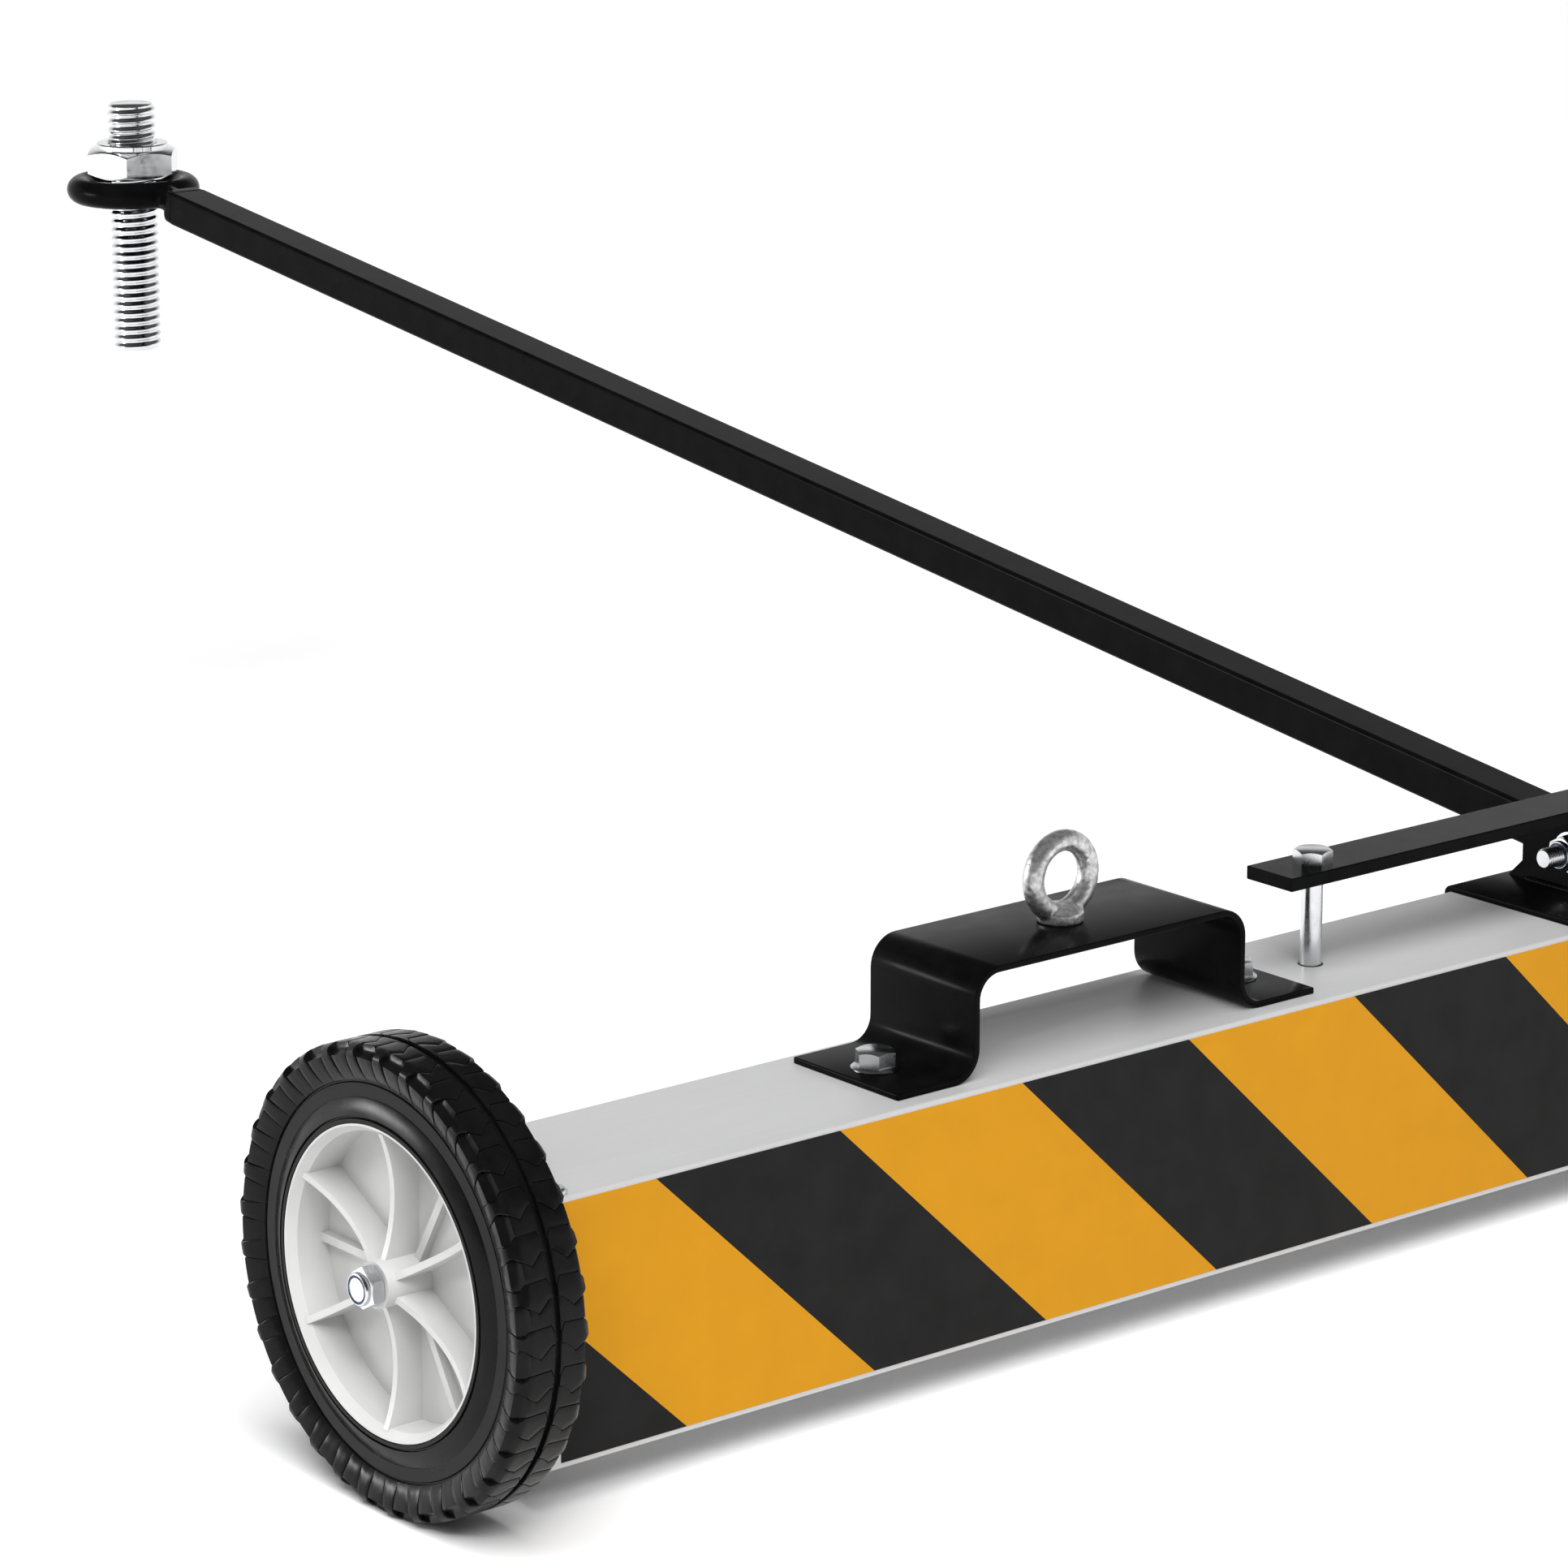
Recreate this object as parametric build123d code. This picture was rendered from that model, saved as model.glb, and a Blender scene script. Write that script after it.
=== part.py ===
from build123d import *
import math
import os

# A towed magnetic nail sweeper: an aluminium housing on two wheels, a magnet bar inside it that
# lifts out of reach of the floor to drop what it picked up, and a drawbar that pivots on top.
#
# Millimetres, +Z up, the ground at Z = 0. While it is built, the axle line is at Y = 0 and the
# drawbar points to +Y. Every piece is then moved back by PLAN_SHIFT, so that the finished part
# has its origin on the ground, under the middle of its plan.

# Wheels
WHEEL_RADIUS = 100.0
AXLE_Z = WHEEL_RADIUS
RIM_FACE_X = 718.7
RIM_WIDTH = 31.4
RIM_RADIUS = 66.5
RIM_WALL = 3.6
RIM_LIP = 0.9
RIM_FLARE_DEPTH = 4.0
TYRE_OUTER_X = 720.4
TYRE_INNER_X = 685.4
TYRE_SHOULDER = 5.0
BOSS_RADIUS = 10.0
BOSS_OUTER_X = 720.7
BOSS_INNER_X = 684.0
AXLE_GAP = 0.3
AXLE_NUT_HEIGHT = 8.6
AXLE_END_SET_BACK = 0.2
AXLE_SPACER_R = 8.5
WEB_DEPTH = 20.0
WEB_THICKNESS = 3.2
FIN_COUNT = 6
FIN_THICKNESS = 3.0
FIN_START = 0.0
FIN_END_DEPTH = 2.2
FIN_DIP_DEPTH = 7.8
ROOT_DEPTH = 0.8
RIB_COUNT = 3
RIB_THICKNESS = 3.7
RIB_HEIGHT = 4.0
RIB_START = 30.0

# Housing, a thin-walled aluminium section open at the bottom
HOUSING_HALF = 665.7
HOUSING_DEPTH = 88.4
HOUSING_BOTTOM = 19.0
HOUSING_TOP = 135.4
WALL = 2.5
SKIN = 1.5
HOUSING_EDGE = 1.2
CAP_THICKNESS = 3.0
CAP_TAB = 17.0
CAP_SCREW_X = 656.7
CAP_SCREW_Y = 37.0
CAP_SCREW_R = 2.95
CAP_SCREW_LENGTH = 9.0
CAP_SCREW_HEAD_R = 5.4
CAP_SCREW_HEAD = 2.6
CAP_SCREW_DOME = 1.6
CAP_SCREW_HOLE_R = 3.2
CAP_THREAD_R = 3.0
CAP_TAB_GAP = 0.5
LABEL_THICKNESS = 0.3
LABEL_BOTTOM = 21.2
LABEL_TOP = 133.1
LABEL_HALF = 660.0

# Lifting brackets, bent from strap
BRACKET_X = 347.2
BRACKET_HALF = 124.0
BRACKET_WIDTH = 70.0
BRACKET_LEG_HALF = 80.3
BRACKET_HEIGHT = 49.4
STRAP = 3.0
BEND_OUTER = 14.0
BRACKET_BOLT_OFFSET = 106.8
FOOT_CORNER = 3.0
FLANGE_R = 10.8
FLANGE_HEIGHT = 1.6
FLANGE_HEX = 7.0
FLANGE_BOLT_LENGTH = 16.0

# Eye bolts
EYE_MAJOR = 16.2
EYE_MINOR = 5.0
EYE_CENTRE_HEIGHT = 20.6
EYE_COLLAR_RADIUS = 10.8
EYE_COLLAR_HEIGHT = 6.0
EYE_SHANK_LENGTH = 14.0

# Hardware that is the same everywhere
BOLT_R = 5.0
HOLE_R = 5.25
RUNNING_R = 5.05
HEX_AF = 16.0
HEX_HEAD = 6.4
NUT_HEIGHT = 8.0
NUT_BORE_R = 5.05

# Lifting bar, its two pins and the magnets that they carry
BAR_HALF = 218.5
BAR_WIDTH = 30.0
BAR_BOTTOM = 177.6
BAR_TOP = 184.0
BAR_EDGE = 0.8
PIN_X = 191.4
PIN_HEAD_TURN = 12.0
MAGNET_COUNT = 12
MAGNET_LENGTH = 96.0
MAGNET_GAP = 4.0
MAGNET_WIDTH = 60.0
MAGNET_BOTTOM = 21.5
MAGNET_HEIGHT = 24.0
CARRIER_HALF = 615.0
CARRIER_WIDTH = 66.0
CARRIER_THICKNESS = 4.0
PIN_HOLE_R = 6.0
GUIDE_R = 13.0
GUIDE_HEIGHT = 4.0
GUIDE_BORE_R = 5.08
POCKET_R = 12.0
POCKET_FLOOR_GAP = 2.0

# Saddle, clevis and pivot
SADDLE_HALF = 55.0
SADDLE_PLATE = 3.0
SADDLE_FLANGE = 24.0
SADDLE_EDGE = 4.5
CLEVIS_OUTER_X = 17.7
CLEVIS_PLATE = 4.0
CLEVIS_HALF_WIDTH = 32.0
CLEVIS_TOP = 177.2
GUSSET = 8.5
PIVOT_Z = 157.9
PIVOT_END_X = 37.7
PIVOT_WASHER_R = 10.0
PIVOT_WASHER = 2.0

# Drawbar and tow eye
DRAWBAR_TILT = 7.5
DRAWBAR_WIDTH = 25.4
DRAWBAR_HEIGHT = 20.4
DRAWBAR_WALL = 2.0
DRAWBAR_EDGE = 2.2
PLUG_LENGTH = 25.0
DRAWBAR_BACK = 16.0
DRAWBAR_LENGTH = 1208.0
BUSH_R = 7.0
FIT = 0.05
TOW_EYE_Y = 1259.0
TOW_EYE_Z = 320.0
TOW_EYE_MAJOR = 33.5
TOW_EYE_MINOR = 8.5
NECK_RADIUS = 8.0
HITCH_R = 15.0
HITCH_UPPER_R = 13.9  # pitch radius of the M30 thread, where the nut is
HITCH_STEP = 309.0
HITCH_BOTTOM = 218.0
HITCH_TOP = 374.0
HITCH_NUT_AF = 53.0
HITCH_NUT_LIFT = 8.4
HITCH_NUT_HEIGHT = 17.5
HITCH_COLLAR_R = 22.4
HITCH_COLLAR_HEIGHT = 3.5
HITCH_NUT_TURN = 49.6
HITCH_CHAMFER = 2.0

# The plan reaches from the back of the wheels to the front of the tow eye
PLAN_FRONT = TOW_EYE_Y + TOW_EYE_MAJOR + TOW_EYE_MINOR
PLAN_SHIFT = (PLAN_FRONT - WHEEL_RADIUS) / 2

# Places worked out from the dimensions above
AXLE_NUT_X = BOSS_OUTER_X + AXLE_GAP
AXLE_END_X = AXLE_NUT_X + AXLE_NUT_HEIGHT - AXLE_END_SET_BACK
MAGNET_TOP = MAGNET_BOTTOM + MAGNET_HEIGHT
CARRIER_TOP = MAGNET_TOP + CARRIER_THICKNESS
PIN_END = MAGNET_TOP - NUT_HEIGHT

SIDES = {"left": -1, "right": 1}


def block(x0, x1, y0, y1, z0, z1):
    """A box between two corners."""
    middle = Pos((x0 + x1) / 2, (y0 + y1) / 2, (z0 + z1) / 2)
    return middle * Box(abs(x1 - x0), abs(y1 - y0), abs(z1 - z0))


def rod_x(radius, x0, x1, y, z):
    """A cylinder along X."""
    return Pos((x0 + x1) / 2, y, z) * Rot(0, 90, 0) * Cylinder(radius, abs(x1 - x0))


def rod_z(radius, z0, z1, x, y):
    """A cylinder along Z."""
    return Pos(x, y, (z0 + z1) / 2) * Cylinder(radius, abs(z1 - z0))


def hex_z(across_flats, z0, z1, x, y, turn=0):
    """A hexagonal prism along Z, from z0 up to z1."""
    outline = RegularPolygon(across_flats / 2, 6, major_radius=False)
    return Pos(x, y, z0) * Rot(0, 0, turn) * extrude(outline, z1 - z0)


def hex_x(across_flats, x0, x1, y, z, turn=0):
    """A hexagonal prism along X, from x0 to x1."""
    outline = RegularPolygon(across_flats / 2, 6, major_radius=False)
    prism = extrude(outline, abs(x1 - x0))
    return Pos(min(x0, x1), y, z) * Rot(0, 90, 0) * Rot(0, 0, turn) * prism


def disc_at(side, radius, x0, x1):
    """A cylinder on the axle line, between two distances from the middle, on one side."""
    return rod_x(radius, side * x0, side * x1, 0, AXLE_Z)


def tube_at(side, outer, inner, x0, x1):
    """A sleeve on the axle line."""
    overrun = 1.0
    return disc_at(side, outer, x0, x1) - disc_at(side, inner, x0 - overrun, x1 + overrun)


# ---- housing ------------------------------------------------------------------------------


def roof_holes():
    """Everything drilled through the roof of the housing."""
    holes = []
    for side in SIDES.values():
        holes.append(rod_z(PIN_HOLE_R, HOUSING_TOP - 10, HOUSING_TOP + 1, side * PIN_X, 0))
        for offset in (-BRACKET_BOLT_OFFSET, BRACKET_BOLT_OFFSET):
            x = side * BRACKET_X + offset
            holes.append(rod_z(HOLE_R, HOUSING_TOP - 10, HOUSING_TOP + 1, x, 0))
        for y in (-CAP_SCREW_Y, CAP_SCREW_Y):
            holes.append(rod_z(CAP_SCREW_HOLE_R, HOUSING_TOP - 10, HOUSING_TOP + 1, side * CAP_SCREW_X, y))
    return holes


def housing_shell():
    half = HOUSING_DEPTH / 2
    shell = block(-HOUSING_HALF, HOUSING_HALF, -half, half, HOUSING_BOTTOM, HOUSING_TOP)
    top_edges = shell.edges().filter_by(Axis.X).group_by(Axis.Z)[-1]
    shell = fillet(top_edges, HOUSING_EDGE)
    inside = half - WALL
    shell -= block(-HOUSING_HALF - 1, HOUSING_HALF + 1, -inside, inside,
                   HOUSING_BOTTOM - 1, HOUSING_TOP - WALL)
    for hole in roof_holes():
        shell -= hole
    return shell


def bottom_skin():
    inside = HOUSING_DEPTH / 2 - WALL
    return block(-HOUSING_HALF, HOUSING_HALF, -inside, inside, HOUSING_BOTTOM, HOUSING_BOTTOM + SKIN)


def end_cap(side):
    half = HOUSING_DEPTH / 2
    outer = side * (HOUSING_HALF + CAP_THICKNESS)
    plate = block(side * HOUSING_HALF, outer, -half, half, HOUSING_BOTTOM, HOUSING_TOP)
    tab_top = HOUSING_TOP - WALL
    inside = half - WALL - CAP_TAB_GAP
    tab = block(side * (HOUSING_HALF - CAP_TAB), side * HOUSING_HALF, -inside, inside,
                tab_top - CAP_THICKNESS, tab_top)
    cap = plate + tab
    for y in (-CAP_SCREW_Y, CAP_SCREW_Y):
        cap -= rod_z(CAP_THREAD_R, tab_top - 10, tab_top + 1, side * CAP_SCREW_X, y)
    return cap - disc_at(side, HOLE_R, HOUSING_HALF - 1, HOUSING_HALF + CAP_THICKNESS + 1)


def end_cap_screws():
    screws = []
    for side in SIDES.values():
        for y in (-CAP_SCREW_Y, CAP_SCREW_Y):
            x = side * CAP_SCREW_X
            head = rod_z(CAP_SCREW_HEAD_R, HOUSING_TOP, HOUSING_TOP + CAP_SCREW_HEAD, x, y)
            head = fillet(head.edges().group_by(Axis.Z)[-1], CAP_SCREW_DOME)
            screws.append(head + rod_z(CAP_SCREW_R, HOUSING_TOP - CAP_SCREW_LENGTH, HOUSING_TOP, x, y))
    return Compound(screws)


def hazard_label():
    face = -HOUSING_DEPTH / 2
    return block(-LABEL_HALF, LABEL_HALF, face - LABEL_THICKNESS, face, LABEL_BOTTOM, LABEL_TOP)


# ---- lifting brackets and eye bolts -------------------------------------------------------


def strap_profile():
    """Side view of the bent strap, as a face of X and height above the roof."""
    inner_bend = BEND_OUTER - STRAP
    leg = BRACKET_LEG_HALF
    upper = [(-BRACKET_HALF, STRAP), (-leg, STRAP), (-leg, BRACKET_HEIGHT),
             (leg, BRACKET_HEIGHT), (leg, STRAP), (BRACKET_HALF, STRAP)]
    leg -= STRAP
    roof = BRACKET_HEIGHT - STRAP
    lower = [(-BRACKET_HALF, 0), (-leg, 0), (-leg, roof), (leg, roof), (leg, 0), (BRACKET_HALF, 0)]
    upper_line = FilletPolyline(*upper, radius=[inner_bend, BEND_OUTER, BEND_OUTER, inner_bend])
    lower_line = FilletPolyline(*lower, radius=[BEND_OUTER, inner_bend, inner_bend, BEND_OUTER])
    ends = [Line(upper[0], lower[0]), Line(upper[-1], lower[-1])]
    return make_face(upper_line.edges() + lower_line.edges() + ends)


def bracket(side):
    strap = extrude(Plane.XZ * strap_profile(), BRACKET_WIDTH / 2, both=True)
    corners = strap.edges().filter_by(lambda e: abs(e.center().X) > BRACKET_HALF - 0.1)
    strap = fillet(corners.filter_by(Axis.Z), FOOT_CORNER)
    strap -= rod_z(HOLE_R, BRACKET_HEIGHT - 10, BRACKET_HEIGHT + 1, 0, 0)
    for x in (-BRACKET_BOLT_OFFSET, BRACKET_BOLT_OFFSET):
        strap -= rod_z(HOLE_R, -1, STRAP + 1, x, 0)
    return Pos(side * BRACKET_X, 0, HOUSING_TOP) * strap


def eye_bolt(side):
    seat = HOUSING_TOP + BRACKET_HEIGHT
    x = side * BRACKET_X
    ring = Pos(x, 0, seat + EYE_CENTRE_HEIGHT) * Rot(90, 0, 0) * Torus(EYE_MAJOR, EYE_MINOR)
    collar = rod_z(EYE_COLLAR_RADIUS, seat, seat + EYE_COLLAR_HEIGHT, x, 0)
    shank = rod_z(BOLT_R, seat - EYE_SHANK_LENGTH, seat, x, 0)
    return ring + collar + shank


def eye_nuts():
    nuts = []
    top = HOUSING_TOP + BRACKET_HEIGHT - STRAP
    for side in SIDES.values():
        nut = hex_z(HEX_AF, top - NUT_HEIGHT, top, side * BRACKET_X, 0)
        nuts.append(nut - rod_z(NUT_BORE_R, top - NUT_HEIGHT - 1, top + 1, side * BRACKET_X, 0))
    return Compound(nuts)


def bracket_bolt_places():
    return [side * BRACKET_X + offset for side in SIDES.values()
            for offset in (-BRACKET_BOLT_OFFSET, BRACKET_BOLT_OFFSET)]


def bracket_bolts():
    bolts = []
    seat = HOUSING_TOP + STRAP
    hex_low = seat + FLANGE_HEIGHT
    for x in bracket_bolt_places():
        flange = rod_z(FLANGE_R, seat, hex_low, x, 0)
        head = hex_z(HEX_AF, hex_low, hex_low + FLANGE_HEX, x, 0)
        bolts.append(flange + head + rod_z(BOLT_R, seat - FLANGE_BOLT_LENGTH, seat, x, 0))
    return Compound(bolts)


def bracket_nuts():
    nuts = []
    top = HOUSING_TOP - WALL
    for x in bracket_bolt_places():
        nut = hex_z(HEX_AF, top - NUT_HEIGHT, top, x, 0)
        nuts.append(nut - rod_z(NUT_BORE_R, top - NUT_HEIGHT - 1, top + 1, x, 0))
    return Compound(nuts)


# ---- saddle, clevis and pivot -------------------------------------------------------------


def saddle_plate():
    half = HOUSING_DEPTH / 2 + LABEL_THICKNESS
    outer = half + SADDLE_PLATE
    top = HOUSING_TOP + SADDLE_PLATE
    saddle = block(-SADDLE_HALF, SADDLE_HALF, -outer, outer, HOUSING_TOP - SADDLE_FLANGE, top)
    saddle = fillet(saddle.edges().filter_by(Axis.X).group_by(Axis.Z)[-1], SADDLE_EDGE)
    return saddle - block(-SADDLE_HALF - 1, SADDLE_HALF + 1, -half, half,
                          HOUSING_TOP - SADDLE_FLANGE - 1, HOUSING_TOP)


def clevis_plate(side):
    inner = side * (CLEVIS_OUTER_X - CLEVIS_PLATE)
    outer = side * CLEVIS_OUTER_X
    foot = HOUSING_TOP + SADDLE_PLATE
    plate = block(inner, outer, -CLEVIS_HALF_WIDTH, CLEVIS_HALF_WIDTH, foot, CLEVIS_TOP)
    return plate - rod_x(RUNNING_R, side * 5, side * 25, 0, PIVOT_Z)


def clevis_gussets():
    """Small triangular stiffeners welded against the ends of the two plates."""
    gussets = []
    foot = HOUSING_TOP + SADDLE_PLATE
    triangle = make_face(Polyline((0, 0), (GUSSET, 0), (0, GUSSET), close=True))
    for side in SIDES.values():
        middle = side * (CLEVIS_OUTER_X - CLEVIS_PLATE / 2)
        for end in (-1, 1):
            body = extrude(Plane.YZ * triangle, CLEVIS_PLATE / 2, both=True)
            if end < 0:
                body = mirror(body, Plane.XZ)
            gussets.append(Pos(middle, end * CLEVIS_HALF_WIDTH, foot) * body)
    return Compound(gussets)


def pivot_bolt():
    seat = CLEVIS_OUTER_X + PIVOT_WASHER
    shank = rod_x(BOLT_R, -PIVOT_END_X, seat, 0, PIVOT_Z)
    return shank + hex_x(HEX_AF, seat, seat + HEX_HEAD, 0, PIVOT_Z)


def pivot_nut():
    seat = CLEVIS_OUTER_X + PIVOT_WASHER
    nut = hex_x(HEX_AF, -seat - NUT_HEIGHT, -seat, 0, PIVOT_Z)
    return nut - rod_x(NUT_BORE_R, -PIVOT_END_X - 1, -seat + 1, 0, PIVOT_Z)


def pivot_washers():
    washers = []
    for side in SIDES.values():
        x0 = side * CLEVIS_OUTER_X
        x1 = side * (CLEVIS_OUTER_X + PIVOT_WASHER)
        bore = rod_x(HOLE_R, x0 - side, x1 + side, 0, PIVOT_Z)
        washers.append(rod_x(PIVOT_WASHER_R, x0, x1, 0, PIVOT_Z) - bore)
    return Compound(washers)


# ---- axles --------------------------------------------------------------------------------


def axle(side):
    head = hex_x(HEX_AF, side * (HOUSING_HALF - HEX_HEAD), side * HOUSING_HALF, 0, AXLE_Z)
    return head + disc_at(side, BOLT_R, HOUSING_HALF, AXLE_END_X)


def axle_spacer(side):
    return tube_at(side, AXLE_SPACER_R, NUT_BORE_R, HOUSING_HALF + CAP_THICKNESS, BOSS_INNER_X - AXLE_GAP)


def axle_nut(side):
    nut = hex_x(HEX_AF, side * AXLE_NUT_X, side * (AXLE_NUT_X + AXLE_NUT_HEIGHT), 0, AXLE_Z)
    return nut - disc_at(side, NUT_BORE_R, AXLE_NUT_X - 1, AXLE_NUT_X + 10)


# ---- wheels -------------------------------------------------------------------------------


def fin(angle):
    """One straight radial fin of the wheel, on the web. Its outer edge dips between boss and rim."""
    inner = BOSS_RADIUS - ROOT_DEPTH
    outer = RIM_RADIUS - RIM_WALL + ROOT_DEPTH
    end_height = WEB_DEPTH - FIN_END_DEPTH
    dip_height = WEB_DEPTH - FIN_DIP_DEPTH
    sides = Polyline((inner, end_height), (inner, 0), (outer, 0), (outer, end_height))
    dished = ThreePointArc((outer, end_height), ((inner + outer) / 2, dip_height), (inner, end_height))
    outline = Plane.XZ * make_face(sides.edges() + dished.edges())
    return Rot(0, 0, angle) * extrude(outline, FIN_THICKNESS / 2, both=True)


def rib(angle):
    """One straight rib, lying on the web."""
    inner = BOSS_RADIUS - ROOT_DEPTH
    outer = RIM_RADIUS - RIM_WALL + ROOT_DEPTH
    half = RIB_THICKNESS / 2
    return Rot(0, 0, angle) * block(inner, outer, -half, half, 0, RIB_HEIGHT)


def wheel_hub(side):
    """Rim, web, fins and boss in one moulding. It is built along Z with the outer face up."""
    web_low = RIM_WIDTH - WEB_DEPTH - WEB_THICKNESS
    web_high = RIM_WIDTH - WEB_DEPTH
    barrel = rod_z(RIM_RADIUS, 0, RIM_WIDTH, 0, 0)
    barrel -= rod_z(RIM_RADIUS - RIM_WALL, -1, RIM_WIDTH + 1, 0, 0)
    flare = Cone(RIM_RADIUS - RIM_WALL, RIM_RADIUS - RIM_LIP, RIM_FLARE_DEPTH)
    barrel -= Pos(0, 0, RIM_WIDTH - RIM_FLARE_DEPTH / 2) * flare
    hub = barrel + rod_z(RIM_RADIUS - RIM_WALL + ROOT_DEPTH, web_low, web_high, 0, 0)
    for number in range(FIN_COUNT):
        hub += Pos(0, 0, web_high) * fin(FIN_START + number * 360 / FIN_COUNT)
    for number in range(RIB_COUNT):
        hub += Pos(0, 0, web_high) * rib(RIB_START + number * 360 / RIB_COUNT)
        hub += Pos(0, 0, web_low - RIB_HEIGHT) * rib(RIB_START + (number + 0.5) * 360 / RIB_COUNT)
    low = BOSS_INNER_X - (RIM_FACE_X - RIM_WIDTH)
    high = BOSS_OUTER_X - (RIM_FACE_X - RIM_WIDTH)
    hub += rod_z(BOSS_RADIUS, low, high, 0, 0)
    hub -= rod_z(BUSH_R + FIT, low - 1, high + 1, 0, 0)
    placed = Pos(RIM_FACE_X - RIM_WIDTH, 0, AXLE_Z) * Rot(0, 90, 0) * hub
    return placed if side > 0 else Pos(0, 0, AXLE_Z) * Rot(0, 0, 180) * Pos(0, 0, -AXLE_Z) * placed


def hub_bush(side):
    return tube_at(side, BUSH_R, RUNNING_R, BOSS_INNER_X, BOSS_OUTER_X)


def tyre(side):
    """A solid tyre: a rounded block section turned about the axle."""
    bore = RIM_RADIUS + FIT
    ring = tube_at(side, WHEEL_RADIUS, bore, TYRE_INNER_X, TYRE_OUTER_X)
    shoulders = [e for e in ring.edges().filter_by(GeomType.CIRCLE) if e.radius > WHEEL_RADIUS - 1]
    return fillet(shoulders, TYRE_SHOULDER)


# ---- magnet lift --------------------------------------------------------------------------


def lift_bar():
    half = BAR_WIDTH / 2
    bar = block(-BAR_HALF, BAR_HALF, -half, half, BAR_BOTTOM, BAR_TOP)
    bar = fillet(bar.edges().filter_by(Axis.X), BAR_EDGE)
    for side in SIDES.values():
        bar -= rod_z(HOLE_R, BAR_BOTTOM - 1, BAR_TOP + 1, side * PIN_X, 0)
    return bar


def lift_pin(side):
    """A long hexagon-head bolt from the bar down to the magnet carrier."""
    head = hex_z(HEX_AF, BAR_TOP, BAR_TOP + HEX_HEAD, side * PIN_X, 0, PIN_HEAD_TURN)
    return head + rod_z(BOLT_R, PIN_END, BAR_TOP, side * PIN_X, 0)


def pin_guide(side):
    """A plastic guide ring against the underside of the roof."""
    top = HOUSING_TOP - WALL
    ring = rod_z(GUIDE_R, top - GUIDE_HEIGHT, top, side * PIN_X, 0)
    return ring - rod_z(GUIDE_BORE_R, top - GUIDE_HEIGHT - 1, top + 1, side * PIN_X, 0)


def magnet_places():
    pitch = MAGNET_LENGTH + MAGNET_GAP
    return [(number - (MAGNET_COUNT - 1) / 2) * pitch for number in range(MAGNET_COUNT)]


def magnets():
    half = MAGNET_WIDTH / 2
    blocks = []
    for x in magnet_places():
        magnet = block(x - MAGNET_LENGTH / 2, x + MAGNET_LENGTH / 2, -half, half,
                       MAGNET_BOTTOM, MAGNET_TOP)
        for side in SIDES.values():
            if abs(x - side * PIN_X) < MAGNET_LENGTH / 2:
                pocket_top = MAGNET_TOP + 1
                magnet -= rod_z(POCKET_R, PIN_END - POCKET_FLOOR_GAP, pocket_top, side * PIN_X, 0)
        blocks.append(magnet)
    return Compound(blocks)


def magnet_carrier():
    half = CARRIER_WIDTH / 2
    carrier = block(-CARRIER_HALF, CARRIER_HALF, -half, half, MAGNET_TOP, CARRIER_TOP)
    for side in SIDES.values():
        carrier -= rod_z(HOLE_R, MAGNET_TOP - 1, CARRIER_TOP + 1, side * PIN_X, 0)
    return carrier


def carrier_nuts():
    """One nut above and one below the carrier, on each pin."""
    nuts = []
    for side in SIDES.values():
        for low in (CARRIER_TOP, MAGNET_TOP - NUT_HEIGHT):
            x = side * PIN_X
            nut = hex_z(HEX_AF, low, low + NUT_HEIGHT, x, 0)
            nuts.append(nut - rod_z(NUT_BORE_R, low - 1, low + NUT_HEIGHT + 1, x, 0))
    return Compound(nuts)


# ---- drawbar and hitch --------------------------------------------------------------------


def on_drawbar(shape):
    """Places a shape built along +Y from the pivot onto the tilted drawbar line."""
    return Pos(0, 0, PIVOT_Z) * Rot(DRAWBAR_TILT, 0, 0) * shape


def drawbar_tube():
    half_width = DRAWBAR_WIDTH / 2
    half_height = DRAWBAR_HEIGHT / 2
    tube = block(-half_width, half_width, -DRAWBAR_BACK, DRAWBAR_LENGTH, -half_height, half_height)
    tube = fillet(tube.edges().filter_by(Axis.Y), DRAWBAR_EDGE)
    inside = half_width - DRAWBAR_WALL
    height = half_height - DRAWBAR_WALL
    tube -= block(-inside, inside, -DRAWBAR_BACK - 1, DRAWBAR_LENGTH + 1, -height, height)
    tube -= rod_x(BUSH_R + FIT, -20, 20, 0, 0)
    return on_drawbar(tube)


def pivot_bush():
    half = DRAWBAR_WIDTH / 2
    sleeve = rod_x(BUSH_R, -half, half, 0, 0) - rod_x(RUNNING_R, -20, 20, 0, 0)
    return on_drawbar(sleeve)


def tow_eye():
    """A forged ring on a short shank that is plugged into the end of the tube and welded."""
    ring = Pos(0, TOW_EYE_Y, TOW_EYE_Z) * Torus(TOW_EYE_MAJOR, TOW_EYE_MINOR)
    half_width = DRAWBAR_WIDTH / 2 - DRAWBAR_WALL
    half_height = DRAWBAR_HEIGHT / 2 - DRAWBAR_WALL
    plug = block(-half_width, half_width, DRAWBAR_LENGTH - PLUG_LENGTH, DRAWBAR_LENGTH,
                 -half_height, half_height)
    reach = TOW_EYE_Y / math.cos(math.radians(DRAWBAR_TILT)) - TOW_EYE_MAJOR
    neck_length = reach - DRAWBAR_LENGTH
    neck = Pos(0, DRAWBAR_LENGTH + neck_length / 2, 0) * Rot(90, 0, 0) * Cylinder(NECK_RADIUS, neck_length)
    return ring + on_drawbar(plug + neck)


def hitch_bolt():
    lower = rod_z(HITCH_R, HITCH_BOTTOM, HITCH_STEP, 0, TOW_EYE_Y)
    lower = chamfer(lower.edges().group_by(Axis.Z)[0], HITCH_CHAMFER)
    upper = rod_z(HITCH_UPPER_R, HITCH_STEP, HITCH_TOP, 0, TOW_EYE_Y)
    return lower + chamfer(upper.edges().group_by(Axis.Z)[-1], HITCH_CHAMFER)


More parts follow.
